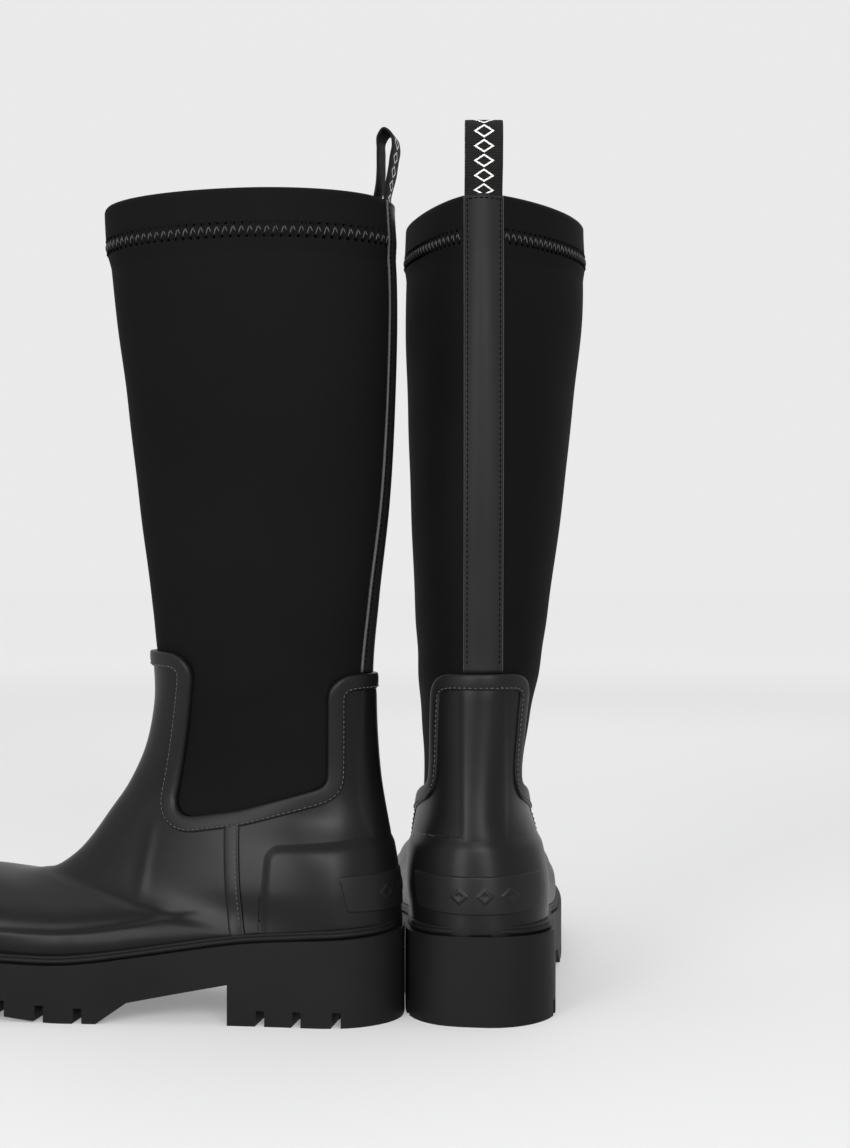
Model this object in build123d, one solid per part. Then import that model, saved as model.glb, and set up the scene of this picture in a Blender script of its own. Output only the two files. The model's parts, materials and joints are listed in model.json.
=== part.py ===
from build123d import *

# A pair of knee-high rain boots: a knitted-faced neoprene bootie and shaft inside a moulded rubber
# foot, on a chunky lug sole with a block heel.
#
# Millimetres, +Z up. Each boot is modelled in its own frame: origin on the ground under the back of
# the heel, +X towards the toe, +Y towards the outer side of the leg. The pair is then stood as it is
# displayed, the right boot pointing along +Y and the left one turned across it, and moved so that the
# row's origin is at the bottom centre of the whole pair.

import os
from collections import namedtuple
from math import copysign, cos, hypot, pi, sin

# ---------------------------------------------------------------- driving dimensions
RIM_HEIGHT = 405.3
SOLE_LENGTH = 290.5
SOLE_HALF_WIDTH = 45.0      # on average, for drawing the outline in
LEFT_TURN = 170.0           # toe direction of each boot, degrees from +X
RIGHT_TURN = 90.0
LEFT_FROM_RIGHT = (-38.5, 29.5)

# Layers of the upper, as distances out from the neoprene's outer skin.
PATCH_FACE = 4.1
TRIM_FACE = 3.4             # binding, counter panel and seam tapes
RUBBER_FACE = 2.3
STRIP_HIGH_FACE = 2.0
BAND_FACE = 1.4
STRIP_FACE = 1.0
SKIN = 0.0
NEOPRENE_BACK = -3.2
LINING_BACK = -4.2
ROOT_BACK = -5.2

BAND_BOTTOM = 379.0
STRIP_WIDTH = 19.6
STRIP_TOP = 404.3
STRIP_CENTRE_Y = 0.7
STRIP_STEP = 388.0          # above this the strip lies over the pull tab's sewn end
STRIP_STEP_LENGTH = 4.0
TAPE_WIDTH = 7.5
BINDING_WIDTH = 7.0
BINDING_EDGE = 0.8          # thickness of the binding over the rubber's cut edge
GORE_TOP = 480.0

HEEL_LENGTH = 80.0
HEEL_BREAST_HEIGHT = 19.7
LIP_HEIGHT = 4.4
LIP_INSET = 2.0
BOARD_WALL = 4.0            # how far the lasting board turns up the sides
FOOTBED_THICKNESS = 5.0
PUFF_START = 238.0

LUG_DEPTH = 7.5
LUG_SLOT = 4.0
LUG_SLOT_MOUTH = 8.0
HEEL_SLOTS = (26.4, 45.7, 63.6)
TREAD_SLOTS = (152.8, 171.8, 191.4, 211.0, 230.6, 250.2, 269.0)
SLOT_REACH = 17.0           # how far a side slot runs in from the sole's edge
TREAD_START = 144.0         # the tread's rear edge on the ground; a bevel leads up to the arch
GROOVE_DEPTH = 3.0          # of the grooves across and along the middle of the tread
HEEL_GROOVE = (12.0, 70.0)
TREAD_GROOVE = (148.0, 200.0)

SHANK_WIDTH = 14.0
SHANK_THICKNESS = 1.5
SHANK_COVER = 2.2           # rubber between the shank and the foot

TAB_WIDTH = 18.6
TAB_PIVOT = (9.2, 406.8)    # hinge line of the pull tab, in the boot's X and Z
TAB_PIVOT_RADIUS = 1.15

SECTION_POINTS = 24
SMALLEST = 1.2              # least half size of an inner layer's last section at the toe
REACH = 90.0                # half width of the cutting prisms, past every surface
HEEL_DROP = -20.0           # below the ground

# Each station is one closed section of the upper, in a plane square to XZ. It runs from a point on the
# heel side (or the sole side, in the forefoot) to a point on the front. widest is where along that line
# the section is broadest, the two powers are superellipse exponents of the two ends, shift moves the
# section outwards, and pull brings its rear end back towards the middle.
Station = namedtuple("Station", "back front half_width widest back_power front_power shift pull")

SHAFTS = {
    "left": [
        Station((7.0, 404.0), (153.0, 406.5), 45.5, 0.46, 2.0, 2.0, 2.0, 0.0),
        Station((4.8, 365.0), (150.0, 365.0), 46.0, 0.47, 2.0, 2.0, 2.0, 0.0),
        Station((5.6, 306.0), (142.4, 308.0), 43.0, 0.48, 2.0, 2.0, 1.8, 0.0),
        Station((8.4, 256.0), (136.2, 257.0), 39.4, 0.49, 2.0, 2.0, 1.4, 0.0),
        Station((14.0, 206.0), (130.2, 206.0), 35.2, 0.50, 2.0, 2.0, 0.9, 0.0),
    ],
    "right": [
        Station((7.0, 405.5), (153.0, 406.0), 46.0, 0.57, 1.45, 2.0, 9.3, 10.0),
        Station((4.8, 365.0), (150.0, 365.0), 47.0, 0.55, 1.55, 2.0, 8.8, 9.0),
        Station((5.6, 306.0), (142.4, 308.0), 43.6, 0.53, 1.70, 2.0, 6.5, 6.5),
        Station((8.4, 256.0), (136.2, 257.0), 39.6, 0.52, 1.85, 2.0, 4.2, 4.0),
        Station((14.0, 206.0), (130.2, 206.0), 35.2, 0.51, 1.95, 2.0, 1.8, 1.5),
    ],
}
FOOT = [
    Station((17.0, 172.0), (127.2, 176.0), 32.0, 0.50, 2.0, 2.0, 0.3, 0.0),
    Station((17.0, 142.0), (127.7, 152.0), 28.2, 0.48, 2.1, 2.0, -1.6, 0.0),
    Station((15.2, 118.0), (132.8, 130.0), 25.6, 0.44, 2.1, 2.0, -2.8, 0.0),
    Station((11.4, 96.0), (142.2, 111.0), 25.9, 0.40, 2.1, 1.95, -3.2, 0.0),
    Station((7.6, 76.0), (151.2, 98.0), 29.4, 0.32, 2.2, 1.85, -2.2, 0.0),
    Station((5.6, 56.0), (160.0, 86.0), 31.2, 0.30, 2.2, 1.8, -1.2, 0.0),
    Station((7.0, 38.0), (168.5, 76.5), 32.0, 0.31, 2.4, 1.8, -0.4, 0.0),
    Station((24.0, 34.0), (178.0, 69.5), 32.8, 0.33, 2.5, 1.8, 0.2, 0.0),
    Station((55.0, 34.0), (188.0, 67.0), 34.4, 0.36, 2.6, 1.85, 0.6, 0.0),
    Station((90.0, 31.0), (199.0, 66.2), 37.4, 0.38, 2.7, 1.9, 1.0, 0.0),
    Station((125.0, 26.0), (210.0, 67.0), 41.0, 0.38, 2.8, 1.95, 1.4, 0.0),
    Station((160.0, 23.0), (222.0, 67.5), 43.8, 0.40, 3.0, 2.0, 1.4, 0.0),
    Station((192.0, 24.0), (236.0, 66.0), 44.2, 0.40, 3.0, 2.1, 1.0, 0.0),
    Station((220.0, 27.0), (251.0, 62.0), 42.0, 0.42, 2.8, 2.2, 0.0, 0.0),
    Station((244.0, 30.0), (264.0, 56.0), 37.0, 0.45, 2.6, 2.2, -1.2, 0.0),
    Station((262.0, 33.0), (273.0, 50.0), 28.5, 0.47, 2.5, 2.2, -2.5, 0.0),
    Station((273.5, 36.0), (278.5, 45.0), 17.0, 0.50, 2.3, 2.2, -3.5, 0.0),
    Station((279.0, 38.5), (281.0, 42.0), 6.0, 0.50, 2.0, 2.0, -4.0, 0.0),
]
TOE_GROWTH_START = 150.0    # from here to the tip a layer's thickness also moves its sections forward
OVERRUN = 14.0              # the lofts run past the rim and are cut off flat
LEG_STATIONS = 7            # the innermost layer is only needed in the leg

# Curves of the sole and of the foot's underside, as (x, z) points in the boot's frame.
SOLE_TOP = [(-8, 48.8), (44, 46.0), (73, 44.0), (102, 40.0), (131, 35.8), (160, 32.6),
            (191, 33.0), (240, 36.0), (298, 42.0)]
FOOT_BOTTOM = [(-8, 37.0), (24, 34.0), (55, 34.0), (90, 31.0), (125, 26.0), (160, 23.0),
               (192, 24.0), (220, 27.0), (244, 30.0), (262, 33.0), (298, 41.0)]
ARCH = [(HEEL_LENGTH, HEEL_BREAST_HEIGHT), (107, 14.6), (129, 10.4)]
TOE_SPRING = [(160, 0.0), (185, 2.2), (215, 6.0), (250, 12.0), (298, 22.0)]

# Plan of the sole: outer side from heel to toe, then back along the inner side.
SOLE_OUTER = [(0, 0), (7, 24), (22, 35), (45, 38.2), (80, 40), (110, 43.2), (140, 47.6), (175, 51.4),
              (200, 52.5), (225, 51), (250, 45), (270, 33.5), (284.5, 15)]
SOLE_INNER = [(SOLE_LENGTH, -4), (285.5, -20), (271.5, -35.5), (250, -45.5), (225, -49.8), (200, -50.5),
              (175, -49), (140, -45.2), (110, -41.4), (80, -38.9), (45, -38), (22, -35), (7, -24)]

# Corners of the U-shaped opening in the rubber, with the radius of each.
GORE = [((99.5, 178.5), 11.0), ((114.5, 95.5), 9.0), ((76.4, 101.8), 40.0), ((35.0, 114.0), 7.0),
        ((33.7, 168.5), 11.0)]
SEAM_FOOT = (75.0, 30.0)
SEAM_HEAD = (81.3, 104.0)
COUNTER_PANEL = [(66.5, 30.0), (64.5, 87.0), (23.0, 89.5), (-12.0, 92.0), (-12.0, 30.0)]
HEEL_PATCH = [(29.5, 72.8), (25.0, 55.0), (-12.0, 53.0), (-12.0, 73.8)]

TAB_OUTSIDE = [(9.2, 405.9), (7.1, 409.0), (6.0, 416.0), (4.8, 425.0), (3.4, 433.0), (5.4, 438.4),
               (9.2, 441.0), (11.7, 437.5), (12.0, 426.0), (11.9, 414.0), (11.1, 408.5)]
TAB_INSIDE = [(9.0, 411.5), (7.4, 418.0), (6.1, 426.0), (4.9, 432.6), (6.3, 436.8), (9.0, 439.2),
              (10.5, 436.0), (10.7, 426.0), (10.5, 416.0)]


# ---------------------------------------------------------------- the upper's layers
def section_wire(station, grow):
    """One closed section of the upper, grown outwards by a layer's distance."""
    toe_share = max(0.0, (station.back[0] - TOE_GROWTH_START) / (SOLE_LENGTH - 10 - TOE_GROWTH_START))
    forward = grow * toe_share ** 2
    length = hypot(station.front[0] - station.back[0], station.front[1] - station.back[1])
    along = ((station.front[0] - station.back[0]) / length, (station.front[1] - station.back[1]) / length)
    centre = (station.back[0] + along[0] * station.widest * length + forward,
              station.back[1] + along[1] * station.widest * length)
    points = []
    for step in range(SECTION_POINTS):
        angle = 2 * pi * step / SECTION_POINTS
        rear = cos(angle) > 0
        power = station.back_power if rear else station.front_power
        reach = max(SMALLEST, grow + length * (station.widest if rear else 1 - station.widest))
        ahead = -copysign(abs(cos(angle)) ** (2 / power) * reach, cos(angle))
        pull = station.pull * max(0.0, -ahead / reach) ** 2
        half_width = max(SMALLEST, station.half_width + grow)
        side = copysign(abs(sin(angle)) ** (2 / power) * half_width, sin(angle))
        points.append(Vector(centre[0] + along[0] * ahead, side + station.shift - pull,
                             centre[1] + along[1] * ahead))
    steps = [step / SECTION_POINTS for step in range(SECTION_POINTS + 1)]
    return Wire([Edge.make_spline(points, periodic=True, parameters=steps)])


def layer_solid(stations, grow):
    """The solid inside one layer of the upper, from above the rim down the leg and out to the toe."""
    return Solid.make_loft([section_wire(station, grow) for station in stations], ruled=False)


def prism(face):
    """A face drawn in XZ, run through the whole boot from side to side."""
    return extrude(Plane.XZ * face, amount=REACH, both=True)


def polygon(corners, close=True):
    """A straight-sided face from its corners."""
    return make_face(Polyline(*corners, close=close))


def rounded(corners_and_radii, closing):
    """A face whose first corners are rounded, closed by plain ones."""
    corners = [corner for corner, _ in corners_and_radii]
    radii = [radius for _, radius in corners_and_radii]
    path = FilletPolyline(closing[-1], *corners, closing[0], radius=radii)
    return make_face([path, Polyline(*closing)])


def under_curve(points, rise, floor=HEEL_DROP):
    """The face below a curve, down to a level."""
    top = Spline(*[(x, z + rise) for x, z in points])
    first = (points[0][0], points[0][1] + rise)
    last = (points[-1][0], points[-1][1] + rise)
    return make_face([top, Polyline(last, (last[0], floor), (first[0], floor), first)])


# ---------------------------------------------------------------- zones shared by the layers
def gore_face():
    """The U-shaped opening of the rubber, open at the top."""
    return rounded(GORE, [(-15, 170.5), (-15, GORE_TOP), (165, GORE_TOP), (165, 181.5)])


def level_zone(low, high):
    """Everything between two heights."""
    return Pos(140, 0, (low + high) / 2) * Box(400, 2 * REACH, high - low)


def strip_zone(low, high, width=STRIP_WIDTH):
    """The column behind the leg that the back strip takes."""
    return Pos(15, STRIP_CENTRE_Y, (low + high) / 2) * Box(60, width, high - low)


def seam_zone(half_width):
    """A band along the side seam, leaning as the seam does."""
    foot_x, foot_z = SEAM_FOOT
    head_x, head_z = SEAM_HEAD
    return polygon([(foot_x - half_width, foot_z), (foot_x + half_width, foot_z),
                    (head_x + half_width, head_z), (head_x - half_width, head_z)])


# ---------------------------------------------------------------- the sole
def sole_plan(inset=0.0):
    """Outline of the sole seen from below, drawn in all round by about the inset."""
    middle = SOLE_LENGTH / 2
    shrink = (1 - inset / middle, 1 - inset / SOLE_HALF_WIDTH)
    points = [(middle + (x - middle) * shrink[0], y * shrink[1]) for x, y in SOLE_OUTER + SOLE_INNER]
    return make_face(Spline(*points, periodic=True))


def sole_side(rise):
    """Side view of the sole: block heel, hollow arch, flat tread and toe spring."""
    top = [(x, z + rise) for x, z in SOLE_TOP]
    edges = [
        Spline(*top),
        Line(top[-1], TOE_SPRING[-1]),
        Spline(*reversed(TOE_SPRING), tangents=[(-1, -0.3), (-1, 0)]),
        Polyline(TOE_SPRING[0], (TREAD_START, 0), ARCH[-1]),
        Spline(*reversed(ARCH)),
        Polyline(ARCH[0], (HEEL_LENGTH, 0), (top[0][0], 0), top[0]),
    ]
    return make_face(edges)


def lip_side():
    """Side view of the lip: a band of even height that follows the top of the sole."""
    top = [(x, z) for x, z in SOLE_TOP]
    base = [(x, z - LIP_HEIGHT) for x, z in SOLE_TOP]
    return make_face([Spline(*top), Line(top[-1], base[-1]), Spline(*reversed(base)), Line(base[0], top[0])])


def slot_cutter(centre, base, depth):
    """One slot across the sole, between two lugs, wider at its mouth on the toe side."""
    half, mouth = LUG_SLOT / 2, LUG_SLOT_MOUTH / 2
    top = base + depth
    return prism(polygon([(centre - half, top), (centre + half, top), (centre + half, top - depth / 2),
                          (centre + mouth, base - 8), (centre - half, base - 8)]))


def value_at(points, x):
    """Reads a curve given by its points, straight between them."""
    run = sorted(points)
    for (x0, z0), (x1, z1) in zip(run, run[1:]):
        if x <= x1:
            return z0 + (z1 - z0) * (x - x0) / (x1 - x0)
    return run[-1][1]


def slot_ends(x):
    """Where a side slot stops on the outer and on the inner side of the sole."""
    return value_at(SOLE_OUTER, x) - SLOT_REACH, value_at([SOLE_OUTER[0]] + SOLE_INNER, x) + SLOT_REACH


def lug_pattern():
    """What is taken out of the tread: deep slots between the edge lugs, shallow grooves across the
    middle, and one groove along it."""
    cuts = []
    for x in HEEL_SLOTS + TREAD_SLOTS:
        base = max(0.0, value_at(TOE_SPRING, x))
        outer, inner = slot_ends(x)
        middle = Pos(x, (outer + inner) / 2, base) * Box(4 * LUG_SLOT, outer - inner, 4 * LUG_DEPTH)
        cuts.append(slot_cutter(x, base, LUG_DEPTH) - middle)
        cuts.append(slot_cutter(x, base, GROOVE_DEPTH) & middle)
    for start, end in (HEEL_GROOVE, TREAD_GROOVE):
        cuts.append(Pos((start + end) / 2, 0, 0) * Box(end - start, LUG_SLOT, 2 * GROOVE_DEPTH))
    return cuts


def shank_solid():
    """The steel shank strip in the sole's waist."""
    run = [(x, z - RUBBER_FACE - SHANK_COVER) for x, z in FOOT_BOTTOM if 50 < x < 165]
    top = Spline(*run)
    base = [(x, z - SHANK_THICKNESS) for x, z in run]
    side = make_face([top, Line(run[-1], base[-1]), Spline(*reversed(base)), Line(base[0], run[0])])
    return extrude(Plane.XZ * side, amount=SHANK_WIDTH / 2, both=True)


# ---------------------------------------------------------------- one boot
def pull_tab_solid():
    """The webbing loop that stands on the rim, turning about a thin roll at its foot."""
    loop = make_face(Spline(*TAB_OUTSIDE, periodic=True)) - make_face(Spline(*TAB_INSIDE, periodic=True))
    roll = Pos(*TAB_PIVOT) * Circle(TAB_PIVOT_RADIUS)
    below_pivot = Pos(TAB_PIVOT[0], TAB_PIVOT[1] - 20) * Rectangle(40, 40)
    profile = (loop - below_pivot) + roll
    return Pos(0, STRIP_CENTRE_Y, 0) * extrude(Plane.XZ * profile, amount=TAB_WIDTH / 2, both=True)


def make_boot(name):
    """Every piece of one boot, in the boot's own frame, by node name."""
    rim = SHAFTS[name][0]
    above = rim._replace(back=(rim.back[0], rim.back[1] + OVERRUN),
                         front=(rim.front[0], rim.front[1] + OVERRUN))
    stations = [above] + SHAFTS[name] + FOOT
    inside = {}

    def within(face):
        if face not in inside:
            reach = stations[:LEG_STATIONS] if face == ROOT_BACK else stations
            inside[face] = layer_solid(reach, face)
        return inside[face]

    def skin(outer, inner, zone):
        return (within(outer) & zone) - within(inner)

    gore = gore_face()
    opening = prism(gore)
    cut_edge = prism(offset(gore, amount=BINDING_EDGE))
    binding_reach = prism(offset(gore, amount=BINDING_WIDTH))
    above_lip = prism(polygon([(-20, 260), (-20, -20), (300, -20), (300, 260)])
                      - under_curve(SOLE_TOP, 0))
    board = prism(under_curve(FOOT_BOTTOM, BOARD_WALL))
    behind_seam = prism(polygon([(-20, 0), SEAM_FOOT, SEAM_HEAD, (SEAM_HEAD[0], 240), (-20, 240)]))
    footed = prism(polygon([(-20, -20), (-20, 240), (300, 240), (300, -20)]))

    rubber = skin(RUBBER_FACE, SKIN, footed - cut_edge)
    puff_zone = prism(polygon([(PUFF_START, -20), (PUFF_START, 240), (300, 240), (300, -20)])) - board
    parts = {}
    parts["toe_puff"] = skin(STRIP_FACE, SKIN, puff_zone)
    parts["lasting_board"] = rubber & board
    upper = rubber - board
    parts["quarter"] = upper & behind_seam
    parts["vamp"] = upper - behind_seam - parts["toe_puff"]

    covered = within(RUBBER_FACE) & (binding_reach - cut_edge)
    parts["binding"] = skin(TRIM_FACE, SKIN, binding_reach - opening) - covered
    trim_zone = above_lip - binding_reach
    parts["seam_tapes"] = skin(TRIM_FACE, RUBBER_FACE, prism(seam_zone(TAPE_WIDTH / 2)) & trim_zone)
    parts["heel_counter"] = skin(TRIM_FACE, RUBBER_FACE, prism(polygon(COUNTER_PANEL)) & trim_zone)
    parts["heel_patch"] = skin(PATCH_FACE, TRIM_FACE, prism(polygon(HEEL_PATCH)))

    parts["shaft"] = skin(SKIN, NEOPRENE_BACK, level_zone(HEEL_DROP, RIM_HEIGHT))
    parts["lining"] = skin(NEOPRENE_BACK, LINING_BACK, level_zone(HEEL_DROP, RIM_HEIGHT))
    parts["collar_band"] = skin(BAND_FACE, SKIN, level_zone(BAND_BOTTOM, RIM_HEIGHT)
                                - strip_zone(BAND_BOTTOM - 1, RIM_HEIGHT + 1))
    low_strip = within(STRIP_FACE) & strip_zone(150, STRIP_STEP) & opening
    high_strip = within(STRIP_HIGH_FACE) & strip_zone(STRIP_STEP - STRIP_STEP_LENGTH, STRIP_TOP)
    under_strip = within(STRIP_FACE) & strip_zone(STRIP_STEP, RIM_HEIGHT + 1)
    parts["back_strip"] = low_strip + high_strip - within(SKIN) - under_strip
    root_zone = strip_zone(STRIP_STEP, RIM_HEIGHT, TAB_WIDTH)
    parts["pull_tab_root"] = Compound([skin(STRIP_FACE, SKIN, root_zone),
                                       skin(LINING_BACK, ROOT_BACK, root_zone)])
    parts["pull_tab"] = pull_tab_solid()
    parts["footbed"] = within(LINING_BACK) & prism(
        under_curve(FOOT_BOTTOM, FOOTBED_THICKNESS - LINING_BACK))

    block = extrude(sole_plan(), amount=60) & prism(sole_side(-LIP_HEIGHT))
    parts["shank"] = shank_solid()
    parts["outsole"] = block - within(RUBBER_FACE) - parts["shank"] - lug_pattern()
    parts["welt"] = (extrude(sole_plan(LIP_INSET), amount=60) & prism(lip_side())) - within(RUBBER_FACE)
    return parts


# ---------------------------------------------------------------- the pair
def stand(shape, name, origin):
    """Turns one boot's piece into the row's frame."""
    if name == "right":
        shape = mirror(shape, about=Plane.XZ)
        return Pos(-origin[0], -origin[1], 0) * Rot(0, 0, RIGHT_TURN) * shape
    place = (LEFT_FROM_RIGHT[0] - origin[0], LEFT_FROM_RIGHT[1] - origin[1], 0)
    return Pos(*place) * Rot(0, 0, LEFT_TURN) * shape


def main():
    boots = {name: make_boot(name) for name in ("left", "right")}
    rough = [stand(part, name, (0, 0)) for name, parts in boots.items() for part in parts.values()]
    box = Compound(children=rough).bounding_box()
    origin = ((box.min.X + box.max.X) / 2, (box.min.Y + box.max.Y) / 2)
    print("row origin from the right heel:", round(origin[0], 3), round(origin[1], 3))
    os.makedirs("parts", exist_ok=True)
    for name, parts in boots.items():
        for node, part in parts.items():
            export_step(stand(part, name, origin), f"parts/{name}_{node}.step")


main()
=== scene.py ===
"""Looks for the pair of tall rain boots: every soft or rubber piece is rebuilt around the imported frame.

Lengths inside the boot functions are millimetres in one boot's own frame: origin on the ground under the
back of the heel, x towards the toe, y towards the outer side of the leg, z up. to_row() turns them into
metres in the row's frame.
"""
import json
import math

import bmesh
import bpy
import numpy as np
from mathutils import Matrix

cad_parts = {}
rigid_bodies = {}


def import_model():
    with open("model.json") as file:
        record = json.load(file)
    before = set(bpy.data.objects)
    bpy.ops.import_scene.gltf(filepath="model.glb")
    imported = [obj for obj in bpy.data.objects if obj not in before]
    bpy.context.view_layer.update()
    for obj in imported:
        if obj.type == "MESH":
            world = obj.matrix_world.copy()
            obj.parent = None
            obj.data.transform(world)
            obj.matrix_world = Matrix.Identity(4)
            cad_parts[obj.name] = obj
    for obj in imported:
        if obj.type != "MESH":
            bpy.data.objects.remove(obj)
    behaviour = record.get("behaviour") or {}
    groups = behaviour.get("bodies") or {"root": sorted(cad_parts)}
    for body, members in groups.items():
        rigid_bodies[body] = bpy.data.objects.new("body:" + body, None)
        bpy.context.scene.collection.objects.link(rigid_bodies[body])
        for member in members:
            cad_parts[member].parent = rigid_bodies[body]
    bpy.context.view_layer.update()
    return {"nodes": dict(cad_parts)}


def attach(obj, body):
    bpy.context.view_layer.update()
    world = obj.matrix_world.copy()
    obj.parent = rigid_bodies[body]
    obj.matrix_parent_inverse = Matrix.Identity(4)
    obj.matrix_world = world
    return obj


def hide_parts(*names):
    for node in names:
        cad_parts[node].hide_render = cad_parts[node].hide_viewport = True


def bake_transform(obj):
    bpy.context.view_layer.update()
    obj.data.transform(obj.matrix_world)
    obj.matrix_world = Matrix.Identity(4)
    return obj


for leftover in list(bpy.data.objects):
    bpy.data.objects.remove(leftover, do_unlink=True)
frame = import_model()

PI = math.pi
TAU = 2 * math.pi
HEEL = {"left": (94.977, -111.794), "right": (133.477, -141.294)}
LEFT_TURN = math.radians(170)
SOLE_LENGTH = 290.5

# ---- shape of the upper
# One row per section: back x, z, front x, z, half width, widest, back power, front power, shift, pull.
SHAFTS = {
    "left": [
        (7, 418, 153, 420.5, 45.5, 0.46, 2, 2, 2, 0),
        (7, 404, 153, 406.5, 45.5, 0.46, 2, 2, 2, 0),
        (4.8, 365, 150, 365, 46, 0.47, 2, 2, 2, 0),
        (5.6, 306, 142.4, 308, 43, 0.48, 2, 2, 1.8, 0),
        (8.4, 256, 136.2, 257, 39.4, 0.49, 2, 2, 1.4, 0),
        (14, 206, 130.2, 206, 35.2, 0.50, 2, 2, 0.9, 0),
    ],
    "right": [
        (7, 419.5, 153, 420, 46, 0.57, 1.45, 2, 9.3, 10),
        (7, 405.5, 153, 406, 46, 0.57, 1.45, 2, 9.3, 10),
        (4.8, 365, 150, 365, 47, 0.55, 1.55, 2, 8.8, 9),
        (5.6, 306, 142.4, 308, 43.6, 0.53, 1.70, 2, 6.5, 6.5),
        (8.4, 256, 136.2, 257, 39.6, 0.52, 1.85, 2, 4.2, 4),
        (14, 206, 130.2, 206, 35.2, 0.51, 1.95, 2, 1.8, 1.5),
    ],
}
FOOT = [
    (17, 172, 127.2, 176, 32, 0.50, 2, 2, 0.3, 0),
    (17, 142, 127.7, 152, 28.2, 0.48, 2.1, 2, -1.6, 0),
    (15.2, 118, 132.8, 130, 25.6, 0.44, 2.1, 2, -2.8, 0),
    (11.4, 96, 142.2, 111, 25.9, 0.40, 2.1, 1.95, -3.2, 0),
    (7.6, 76, 151.2, 98, 29.4, 0.32, 2.2, 1.85, -2.2, 0),
    (5.6, 56, 160, 86, 31.2, 0.30, 2.2, 1.8, -1.2, 0),
    (7, 38, 168.5, 76.5, 32, 0.31, 2.4, 1.8, -0.4, 0),
    (24, 34, 178, 69.5, 32.8, 0.33, 2.5, 1.8, 0.2, 0),
    (55, 34, 188, 67, 34.4, 0.36, 2.6, 1.85, 0.6, 0),
    (90, 31, 199, 66.2, 37.4, 0.38, 2.7, 1.9, 1, 0),
    (125, 26, 210, 67, 41, 0.38, 2.8, 1.95, 1.4, 0),
    (160, 23, 222, 67.5, 43.8, 0.40, 3, 2, 1.4, 0),
    (192, 24, 236, 66, 44.2, 0.40, 3, 2.1, 1, 0),
    (220, 27, 251, 62, 42, 0.42, 2.8, 2.2, 0, 0),
    (244, 30, 264, 56, 37, 0.45, 2.6, 2.2, -1.2, 0),
    (262, 33, 273, 50, 28.5, 0.47, 2.5, 2.2, -2.5, 0),
    (273.5, 36, 278.5, 45, 17, 0.50, 2.3, 2.2, -3.5, 0),
    (279, 38.5, 281, 42, 6, 0.50, 2, 2, -4, 0),
]
SOLE_TOP = [(-8, 48.8), (44, 46), (73, 44), (102, 40), (131, 35.8), (160, 32.6),
            (191, 33), (240, 36), (298, 42)]
SOLE_OUTLINE = [(0, 0), (7, 24), (22, 35), (45, 38.2), (80, 40), (110, 43.2), (140, 47.6), (175, 51.4),
                (200, 52.5), (225, 51), (250, 45), (270, 33.5), (284.5, 15), (290.5, -4), (285.5, -20),
                (271.5, -35.5), (250, -45.5), (225, -49.8), (200, -50.5), (175, -49), (140, -45.2),
                (110, -41.4), (80, -38.9), (45, -38), (22, -35), (7, -24)]
GORE = [((99.5, 178.5), 11), ((114.5, 95.5), 9), ((76.4, 101.8), 40), ((35, 114), 7),
        ((33.7, 168.5), 11)]
GORE_CLOSING = [(-15, 170.5), (-15, 480), (165, 480), (165, 181.5)]
SEAM_FOOT = (75, 30)
SEAM_HEAD = (81.3, 104)
COUNTER_PANEL = [((-30, 28), 0), ((66.5, 28), 0), ((64.5, 87.5), 9), ((23, 90.5), 20), ((-30, 93), 0)]
HEEL_PATCH = [((29.5, 72.8), 1.5), ((25, 55), 1.5), ((-30, 53), 0), ((-30, 73.8), 0)]

# Heights above the ground.
RIM = 405.3
STITCH_ROW = 384.6
SHAFT_TOP, LINING_TOP = 402.5, 402.0
# Heights over the smooth body.
SKIN = 0.0
BAND = 1.4
RUBBER = 2.3
COUNTER = 2.2
PATCH = 3.2
LINING_FACE = -3.3

STRIP_Y = 0.7             # middle line of strip and loop
STRIP_STITCH_Y = 8.05     # their rows of stitches, from that line
STRIP_HALF = 10.0
PRICKS = ((-0.12, 3.1), (0.38, -3.1))     # holes of one zigzag: share of the pitch, rise over the row
ZIGZAG_PITCH = 4.1
MOTIF_PITCH = 7.0
RIB_PITCH = 1.3
LOZENGE_PITCH = 11.0
EDGE_SNAP = 0.12          # a cut nearer than this to a grid point goes through it
NOISE_LOW, NOISE_HIGH = 0.3, 0.7


def hermite(knots, values, at):
    """Smooth curve through values at the knots, with uneven spacing allowed."""
    knots, values, at = np.asarray(knots, float), np.asarray(values, float), np.asarray(at, float)
    if values.ndim == 1:
        return hermite(knots, values[:, None], at)[..., 0]
    gaps = np.diff(knots)[:, None]
    slopes = np.diff(values, axis=0) / gaps
    tangents = np.empty_like(values)
    tangents[0], tangents[-1] = slopes[0], slopes[-1]
    near, far = gaps[:-1], gaps[1:]
    tangents[1:-1] = (slopes[:-1] * far + slopes[1:] * near) / (near + far)
    k = np.clip(np.searchsorted(knots, at, side="right") - 1, 0, len(knots) - 2)
    width = gaps[k]
    t = (at - knots[k])[..., None] / width
    return ((2 * t ** 3 - 3 * t ** 2 + 1) * values[k] + (t ** 3 - 2 * t ** 2 + t) * width * tangents[k]
            + (3 * t ** 2 - 2 * t ** 3) * values[k + 1] + (t ** 3 - t ** 2) * width * tangents[k + 1])


def smooth(low, high, value):
    """0 below low, 1 above high, and a smooth step between."""
    t = np.clip((value - low) / (high - low), 0, 1)
    return t * t * (3 - 2 * t)


def run_along(points):
    """Distance run from the first point to each one."""
    return np.concatenate([[0], np.cumsum(np.linalg.norm(np.diff(points, axis=0), axis=1))])


def unit(vectors):
    return vectors / np.linalg.norm(vectors, axis=-1, keepdims=True)


def bisect(low, high, steps, below):
    """Halves low..high step by step and keeps the upper half where below(middle) is true."""
    for _ in range(steps):
        middle = (low + high) / 2
        above = below(middle)
        low, high = np.where(above, middle, low), np.where(above, high, middle)
    return low


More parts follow.
